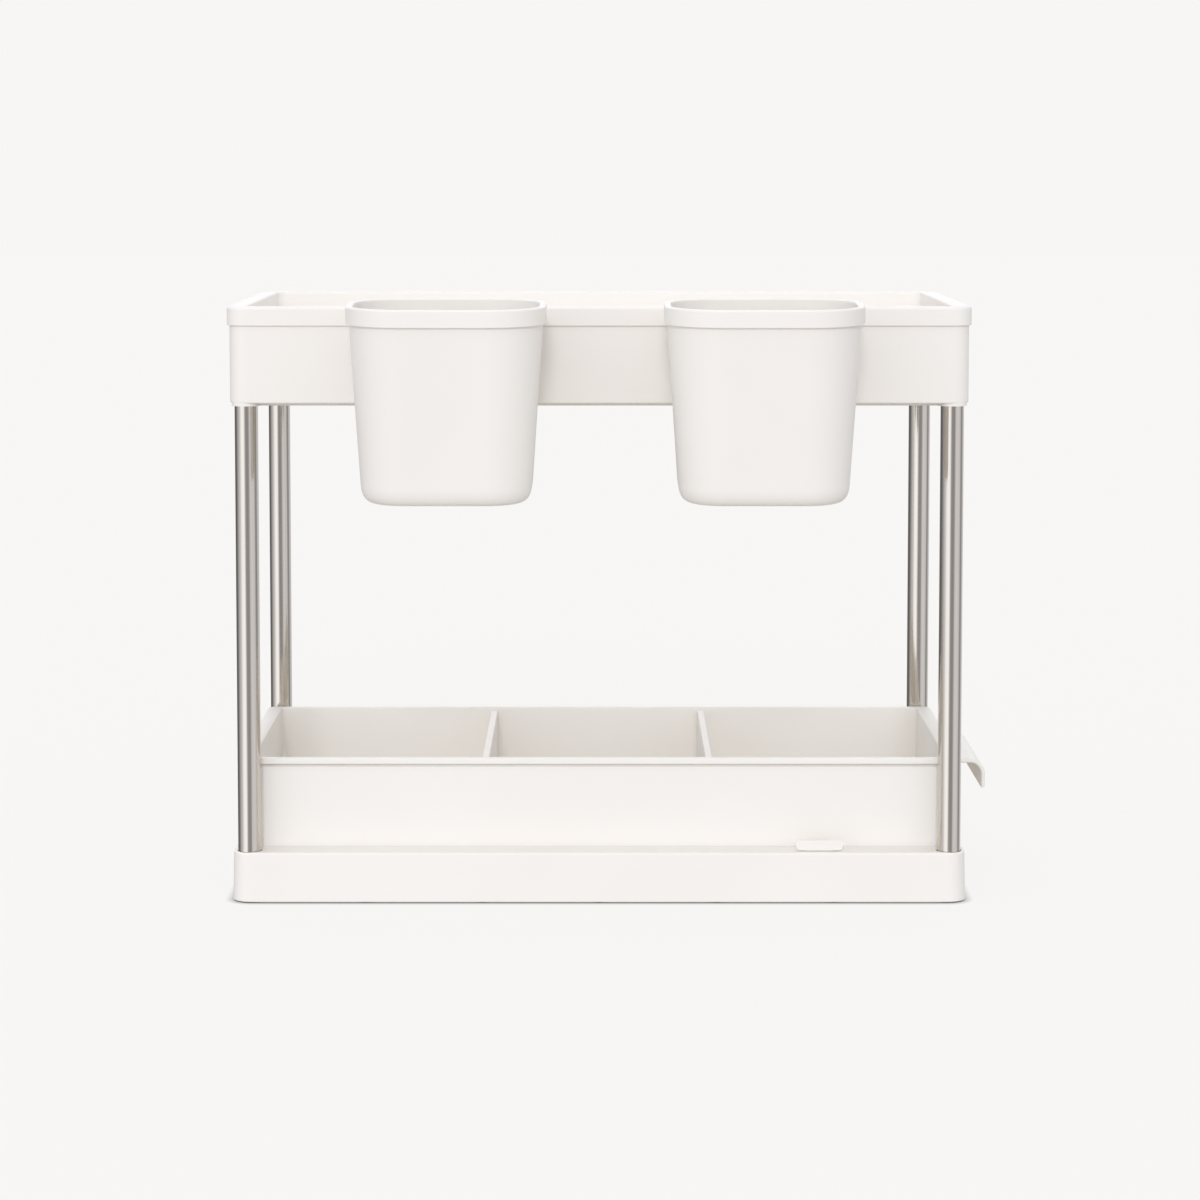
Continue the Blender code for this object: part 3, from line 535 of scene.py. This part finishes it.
# The cross recess in each head, as two crossing slots
for half_x, half_y in ((1.9, 0.35), (0.35, 1.9)):
    slots = blocks([
        ((x - half_x, y - half_y, 0.5), (x + half_x, y + half_y, 2.2)) for x, y in tube_corners])
    shaped(screws, slots, "DIFFERENCE")
finished(screws, "base_screws", zinc)
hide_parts(*["base_screw_" + corner for corner in corner_names])
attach(screws, "frame")

# ---------------------------------------------------------------------------------------
# Drawer. One thin-walled polypropylene tub. Its rim turns out and down over a small step
# in the wall, which draws a dark line there. A finger lip curls off its right end, ribs
# guide the dividers, and two studs ride in the base's rails.
# ---------------------------------------------------------------------------------------

drawer_plastic = moulded_polypropylene("drawer_polypropylene", white, white_drift, 0.37)


def curled_strip_tree():
    """A flat strip with rounded edges that follows a path and curls at its corner."""
    tree, given = new_geometry_tree("curled_strip", {
        "Width": "Float", "Thickness": "Float", "Curl": "Float", "Edge": "Float",
        "Material": "Material"})
    line = add_node(tree, "GeometryNodeMeshToCurve", None, {"Mesh": given["Geometry"]})
    curled = add_node(tree, "GeometryNodeFilletCurve", {"mode": "POLY"}, {
        "Curve": line.outputs["Curve"], "Radius": given["Curl"], "Count": 10})
    outline = add_node(tree, "GeometryNodeCurvePrimitiveQuadrilateral", None, {
        "Width": given["Width"], "Height": given["Thickness"]})
    eased = add_node(tree, "GeometryNodeFilletCurve", {"mode": "POLY"}, {
        "Curve": outline.outputs["Curve"], "Radius": given["Edge"], "Count": 4})
    strip = add_node(tree, "GeometryNodeCurveToMesh", None, {
        "Curve": curled.outputs["Curve"], "Profile Curve": eased.outputs["Curve"],
        "Fill Caps": True})
    close_tree(tree, strip.outputs["Mesh"], given["Material"])
    return tree


# The wall's section: outside from the floor up, over the hollow rim, and down the inside
curled_strip = curled_strip_tree()
drawer = moulded_wall("drawer_tub", [
    ((176.0, 80.4, 1.0, 5.3, 0), 0, 0),
    ((183.0, 87.4, 4.5, 5.3, 0), 3.3, 5),
    ((183.0, 87.4, 4.5, 68.9, 0), 0.45, 3),
    ((182.3, 86.7, 3.8, 68.9, 0), 0.2, 2),
    ((182.3, 86.7, 3.8, 71.6, 0), 0.4, 2),
    ((187.5, 88.5, 4.6, 71.6, 0), 0.3, 2),
    ((187.5, 88.5, 4.6, 70.5, 0), 0.25, 2),
    ((188.6, 89.6, 5.0, 70.5, 0), 0.45, 3),
    ((188.6, 89.6, 5.0, 73.7, 0), 0.9, 4),
    ((180.8, 85.2, 2.3, 73.7, 0), 0.9, 4),
    ((180.8, 85.2, 2.3, 7.5, 0), 2.1, 5),
    ((174.0, 78.4, 0.5, 7.5, 0), 0, 0),
])
lip_path = [(182.2, 0, 65.3), (204.7, 0, 65.3), (204.7, 0, 51.1)]
handle = grown("finger_lip", curled_strip, lip_path, {
    "Width": 98.0, "Thickness": 2.0, "Curl": 7.0, "Edge": 0.85, "Material": drawer_plastic})
shaped(drawer, handle, "UNION")

# A pair of guide ribs for each end of each divider, and the two studs
divider_left_x, divider_right_x = -59.6, 57.5
rib_pitch = 5.8
for middle in (divider_left_x, divider_right_x):
    for side in (-1, 1):
        ribs = grown("guide_ribs", row_of_blocks, [], {
            "First": (middle - rib_pitch / 2, side * 83.95, 24.25), "Pitch": rib_pitch, "Count": 2,
            "Size": (rib, 3.5, 34.5), "Material": drawer_plastic})
        shaped(drawer, ribs, "UNION")
stud_y, stud_half = 88.15, 1.25
studs = blocks([
    ((-168.0, side * stud_y - stud_half, 10.3), (-160.0, side * stud_y + stud_half, 14.3))
    for side in (-1, 1)])
shaped(drawer, studs, "UNION")
finished(drawer, "drawer_tub", drawer_plastic)
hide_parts("drawer")
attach(drawer, "drawer")

# ---------------------------------------------------------------------------------------
# Dividers. Two loose moulded plates, 3.6 mm thick with eased edges, which drop between the
# drawer's guide ribs and split it in three.
# ---------------------------------------------------------------------------------------


def eased_plate(name, half_y, low, high, thickness, corner, ease):
    """An upright plate across the drawer with round corners and eased edges.

    It is made lying down, with its thickness upward, and then stood up.
    """
    half_z = (high - low) / 2
    inset = 4 * ease
    knots = [
        ((half_y - inset, half_z - inset, corner, -thickness / 2, 0), 0, 0),
        ((half_y, half_z, corner, -thickness / 2, 0), ease, 4),
        ((half_y, half_z, corner, thickness / 2, 0), ease, 4),
        ((half_y - inset, half_z - inset, corner, thickness / 2, 0), 0, 0),
    ]
    plate = moulded_wall(name, knots, 8)
    upright = Matrix(((0, 0, 1, 0), (1, 0, 0, 0), (0, 1, 0, (high + low) / 2), (0, 0, 0, 1)))
    plate.data.transform(upright)
    return plate


divider_plastic = moulded_polypropylene("divider_polypropylene", white, white_drift, 0.61)
for name, middle in (("divider_left", divider_left_x), ("divider_right", divider_right_x)):
    plate = eased_plate(name, half_y=84.9, low=7.8, high=72.2, thickness=3.6, corner=3.0, ease=0.7)
    finished(plate, name + "_plate", divider_plastic, turn=Matrix.Translation((middle, 0, 0)))
    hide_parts(name)
    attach(plate, name)

# ---------------------------------------------------------------------------------------
# Top tray. A polypropylene tub whose rim turns over into a deep outer skirt with a raised
# band. A hollow pillar in each corner, closed at its top, sits on a tube.
# ---------------------------------------------------------------------------------------

tray_plastic = moulded_polypropylene("tray_polypropylene", white, white_drift, 0.13)
rim_top, tub_depth, tub_draft = 309.8, 49.5, 1.6


def tub_line(spread, height):
    """Level line of the tray's inner tub, which narrows by its draft down to its floor."""
    offset = spread - tub_draft * (rim_top - height) / tub_depth
    return (182.15 + offset, 96.7 + offset, max(6.0 + offset, 0.4), height, 0)


def skirt_line(spread, height):
    """Level line of the tray's outer skirt."""
    return (190.45 + spread, 105.0 + spread, 10.0 + spread, height, 0)


# The wall's section: under the tub's floor and up, down inside the skirt, up its outside
# and over the band, and down the inside of the tub
tray = moulded_wall("tray_tub", [
    (tub_line(-6.0, 258.3), 0, 0),
    (tub_line(2.0, 258.3), 6.4, 6),
    (tub_line(2.0, 307.8), 0.6, 3),
    (skirt_line(-2.0, 307.8), 0.6, 3),
    (skirt_line(-2.0, 260.1), 0.3, 2),
    (skirt_line(0.0, 260.1), 0.95, 5),
    (skirt_line(0.0, 300.1), 0.25, 2),
    (skirt_line(1.3, 300.1), 0.3, 3),
    (skirt_line(1.3, rim_top), 1.65, 6),
    (tub_line(0.0, rim_top), 1.1, 4),
    (tub_line(0.0, 260.3), 4.4, 6),
    (tub_line(-8.0, 260.3), 0, 0),
], 20)

# The pillars that the tubes push up into, and their bores
pillar_profile = [
    (6.4, 0, 297.6), (6.9, 0, 297.5), (7.25, 0, 297.2), (7.4, 0, 296.7), (7.4, 0, 258.6)]
pillars = grown("tube_pillars", turned_at_corners, pillar_profile, {
    "Span X": 2 * tube_x, "Span Y": 2 * tube_y, "Fineness": 48, "Material": tray_plastic})
shaped(tray, pillars, "UNION")
pillar_bores = blocks([], [(x, y, 6.3, 250.0, 296.1) for x, y in tube_corners])
shaped(tray, pillar_bores, "DIFFERENCE")
finished(tray, "tray_tub", tray_plastic)
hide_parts("top_tray")
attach(tray, "frame")

# ---------------------------------------------------------------------------------------
# Cups. Two polypropylene cups with a raised rim band and round corners. A wide hook behind
# each goes over the tray's rim, so the cup leans back by 2.1 degrees against the skirt.
# ---------------------------------------------------------------------------------------

cup_plastic = moulded_polypropylene("cup_polypropylene", white, white_drift, 0.83)
cup_depth, cup_wall = 98.6, 1.8
band_depth, band_proud = 8.8, 1.7
cup_draft = math.tan(math.radians(3.8))


def cup_line(inset, depth):
    """Level line of the cup's wall, drafted on three sides and upright at the back."""
    narrowed = max(depth - band_depth, 0) * cup_draft
    full_y = 76.6 - narrowed - 2 * inset
    middle_y = -band_proud - inset - full_y / 2
    return (48.3 - narrowed - inset, full_y / 2, 28.3 - narrowed - inset, -depth, middle_y)


# The cup's band and the tray's hold its top 3 mm off the skirt, which its back wall meets
# 81.8 mm farther down. The wall's section goes from under the floor up its outside, over
# the band, and down the inside.
cup_lean = math.asin(3.0 / 81.8)
for name, middle in (("cup_left", -76.5), ("cup_right", 82.5)):
    cup = moulded_wall(name, [
        (cup_line(14.0, cup_depth), 0, 0),
        (cup_line(0.0, cup_depth), 8.8, 8),
        (cup_line(0.0, band_depth), 0.25, 2),
        (cup_line(-band_proud, band_depth), 0.35, 3),
        (cup_line(-band_proud, 0.0), 1.1, 4),
        (cup_line(cup_wall, 0.0), 1.0, 4),
        (cup_line(cup_wall, band_depth), 0.6, 2),
        (cup_line(cup_wall, cup_depth - cup_wall), 6.8, 7),
        (cup_line(14.0, cup_depth - cup_wall), 0, 0),
    ], 24)
    hook_path = [(0, -0.9, -3.1), (0, 11.72, -3.1), (0, 11.72, -17.9)]
    hook = grown("hook", curled_strip, hook_path, {
        "Width": 46.0, "Thickness": 2.2, "Curl": 1.3, "Edge": 0.6, "Material": cup_plastic})
    shaped(cup, hook, "UNION")
    hang = Matrix.Translation((middle, -106.92, 314.40)) @ Matrix.Rotation(cup_lean, 4, "X")
    finished(cup, name + "_tub", cup_plastic, turn=hang)
    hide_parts(name)
    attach(cup, name)

# ---------------------------------------------------------------------------------------
# Badge. A small bare plate of the same plastic that stands on the base's front strip. It
# has rounded corners, narrows downward, and has a peg that is pressed into a slot.
# ---------------------------------------------------------------------------------------

badge_plastic = moulded_polypropylene("badge_polypropylene", white, white_drift, 0.29)
badge = moulded_wall("badge", [
    ((11.8, 1.25, 0.6, -1.75, -0.35), 0, 0),
    ((13.35, 2.75, 1.9, -1.75, -0.35), 0.55, 3),
    ((13.35, 2.75, 1.9, 1.75, -0.35), 0.55, 3),
    ((11.8, 1.25, 0.6, 1.75, -0.35), 0, 0),
], 6)
badge.data.transform(Matrix(((1, 0, 0, 0), (0, 0, 1, 0), (0, 1, 0, 0), (0, 0, 0, 1))))
badge_top, narrowing = 3.1, 0.018
for point in badge.data.vertices:
    point.co.x *= 1 - narrowing * (badge_top - point.co.z)
peg = blocks([((-7.0, -0.9, -8.1), (7.0, 0.9, -2.6))])
shaped(badge, peg, "UNION")
finished(badge, "badge_plate", badge_plastic, turn=Matrix.Translation((114.6, -99.25, 29.9)))
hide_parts("badge")
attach(badge, "frame")

# ---------------------------------------------------------------------------------------
# Studio. A pale floor and a pale surround that only the camera sees, and a room of soft
# panels that lights the organizer and streaks its tubes.
# ---------------------------------------------------------------------------------------

pale = "#F7F6F4"


def seen_by_camera_only(stand_in):
    """Keep a stage piece out of the light and out of reflections."""
    stand_in.visible_diffuse = False
    stand_in.visible_glossy = False
    stand_in.visible_transmission = False
    stand_in.visible_shadow = False


def paper(name, glow, paint):
    """Seamless paper: part of its brightness is its own, the rest takes soft shadows.

    Its own glow is darkened within 5 mm of what stands on it: a painted contact shadow.
    """
    material = bpy.data.materials.new(name)
    material.use_nodes = True
    tree = material.node_tree
    tree.nodes.remove(tree.nodes["Principled BSDF"])
    own = add_node(tree, "ShaderNodeEmission", None, {"Color": linear(pale), "Strength": glow})
    last = own.outputs["Emission"]
    if paint:
        # Painted contact shadow: the glow's colour darkens where a piece stands within 5 mm
        painted_contact_shadow = add_node(tree, "ShaderNodeAmbientOcclusion", {"samples": 8}, {
            "Color": linear(pale), "Distance": 0.005})
        tree.links.new(painted_contact_shadow.outputs["Color"], own.inputs["Color"])
        matte = add_node(tree, "ShaderNodeBsdfDiffuse", None, {"Color": paint})
        both = add_node(tree, "ShaderNodeAddShader", None, {0: last, 1: matte.outputs["BSDF"]})
        last = both.outputs["Shader"]
    tree.links.new(last, tree.nodes["Material Output"].inputs["Surface"])
    return material


def stage_mesh(name, make, material):
    """A piece of the stage, from one mesh operation."""
    builder = bmesh.new()
    make(builder)
    mesh = bpy.data.meshes.new(name)
    builder.to_mesh(mesh)
    builder.free()
    mesh.materials.append(material)
    stand_in = bpy.data.objects.new(name, mesh)
    bpy.context.scene.collection.objects.link(stand_in)
    seen_by_camera_only(stand_in)


floor_paper = paper("floor_paper", 0.90, linear("#575654"))
stage_mesh("floor", lambda builder: bmesh.ops.create_circle(
    builder, cap_ends=True, segments=96, radius=12.0), floor_paper)
surround_paper = paper("surround_paper", 1.0, None)
stage_mesh("surround", lambda builder: bmesh.ops.create_icosphere(
    builder, subdivisions=4, radius=12.5), surround_paper)

# What stands round the room at the tubes' height, as brightness by bearing in degrees: 0 is
# the camera's side and -90 the left. The tubes mirror these panels and the gaps between.
room = [
    (-180, 0.36), (-140, 0.16), (-115, 0.18), (-95, 0.50), (-74, 0.78), (-60, 1.00),
    (-50, 1.40), (-25, 1.46), (-17, 1.05), (-8, 0.45), (10, 0.36), (22, 0.42), (34, 0.85),
    (50, 0.95), (80, 0.85), (92, 0.50), (108, 0.30), (122, 0.75), (150, 0.80), (180, 0.36)]
room_strength = 2.0

world = bpy.data.worlds.new("studio_room")
world.use_nodes = True
bpy.context.scene.world = world
tree = world.node_tree
direction = add_node(tree, "ShaderNodeTexCoord").outputs["Generated"]
split = add_node(tree, "ShaderNodeSeparateXYZ", None, {"Vector": direction})
frontward = add_node(tree, "ShaderNodeMath", {"operation": "MULTIPLY"}, {
    0: split.outputs["Y"], 1: -1.0})
bearing = add_node(tree, "ShaderNodeMath", {"operation": "ARCTAN2"}, {
    0: split.outputs["X"], 1: frontward.outputs["Value"]})
turned = add_node(tree, "ShaderNodeMapRange", None, {
    "Value": bearing.outputs["Value"], "From Min": -math.pi, "From Max": math.pi})
panels = add_node(tree, "ShaderNodeValToRGB", None, {"Fac": turned.outputs["Result"]})
stops = panels.color_ramp.elements
while len(stops) > 1:
    stops.remove(stops[0])
stops[0].position = 0.0
for number, (angle, light) in enumerate(room):
    stop = stops[0] if number == 0 else stops.new((angle + 180) / 360)
    share = light / room_strength
    stop.color = (share, share, share, 1.0)

# Above the panels a wide softbox high in front, and a paler patch of wall behind
height = add_node(tree, "ShaderNodeMapRange", {"interpolation_type": "SMOOTHSTEP"}, {
    "Value": split.outputs["Z"], "From Min": 0.0, "From Max": 0.2})
toward_key = add_node(tree, "ShaderNodeVectorMath", {"operation": "DOT_PRODUCT"}, {
    0: direction, 1: Vector((-0.20, -0.82, 0.54)).normalized()})
softbox = add_node(tree, "ShaderNodeMapRange", {"interpolation_type": "SMOOTHSTEP"}, {
    "Value": toward_key.outputs["Value"], "From Min": -0.3, "From Max": 0.9,
    "To Min": 0.28, "To Max": 0.52})
toward_back = add_node(tree, "ShaderNodeVectorMath", {"operation": "DOT_PRODUCT"}, {
    0: direction, 1: Vector((0.0, 0.97, 0.24)).normalized()})
backdrop = add_node(tree, "ShaderNodeMapRange", {"interpolation_type": "SMOOTHSTEP"}, {
    "Value": toward_back.outputs["Value"], "From Min": 0.65, "From Max": 0.95, "To Max": 0.60})
lit = add_node(tree, "ShaderNodeMath", {"operation": "ADD"}, {
    0: softbox.outputs["Result"], 1: backdrop.outputs["Result"]})
walls = add_node(tree, "ShaderNodeMix", {"data_type": "RGBA"}, {
    0: height.outputs["Result"], "A": panels.outputs["Color"], "B": lit.outputs["Value"]})

# Below them an even, warmer floor, and over all of it a slightly cool light
downward = add_node(tree, "ShaderNodeMapRange", {"interpolation_type": "SMOOTHSTEP"}, {
    "Value": split.outputs["Z"], "From Min": -0.18, "From Max": -0.42})
around = add_node(tree, "ShaderNodeMix", {"data_type": "RGBA"}, {
    0: downward.outputs["Result"], "A": walls.outputs["Result"], "B": (0.32, 0.305, 0.28, 1.0)})
cool = add_node(tree, "ShaderNodeMix", {"data_type": "RGBA", "blend_type": "MULTIPLY"}, {
    0: 1.0, "A": around.outputs["Result"], "B": (0.968, 0.976, 1.026, 1.0)})
background = tree.nodes["Background"]
tree.links.new(cool.outputs["Result"], background.inputs["Color"])
background.inputs["Strength"].default_value = room_strength

# The key light: soft, nearly frontal, 25 degrees up, and not mirrored in the tubes
sun = bpy.data.lights.new("soft_key", "SUN")
sun.energy = 0.80
sun.color = (0.972, 0.975, 1.016)
sun.angle = math.radians(11)
key = bpy.data.objects.new("soft_key", sun)
bpy.context.scene.collection.objects.link(key)
key.rotation_euler = Vector((0.03, 0.90, -0.42)).to_track_quat("-Z", "Y").to_euler()
key.visible_glossy = False

# The photograph's view, fitted to its edges: nearly level, with a downward lens shift
pitch_down = 4.926
lens = bpy.data.cameras.new("camera")
lens.lens = 109.73
lens.sensor_width = 36.0
lens.shift_y = -0.11
lens.clip_end = 60.0
camera = bpy.data.objects.new("camera", lens)
bpy.context.scene.collection.objects.link(camera)
camera.location = (-0.0066, -1.9381, 0.3884)
camera.rotation_euler = (math.radians(90 - pitch_down), 0, 0)
bpy.context.scene.camera = camera
bpy.context.scene.view_settings.view_transform = "Standard"
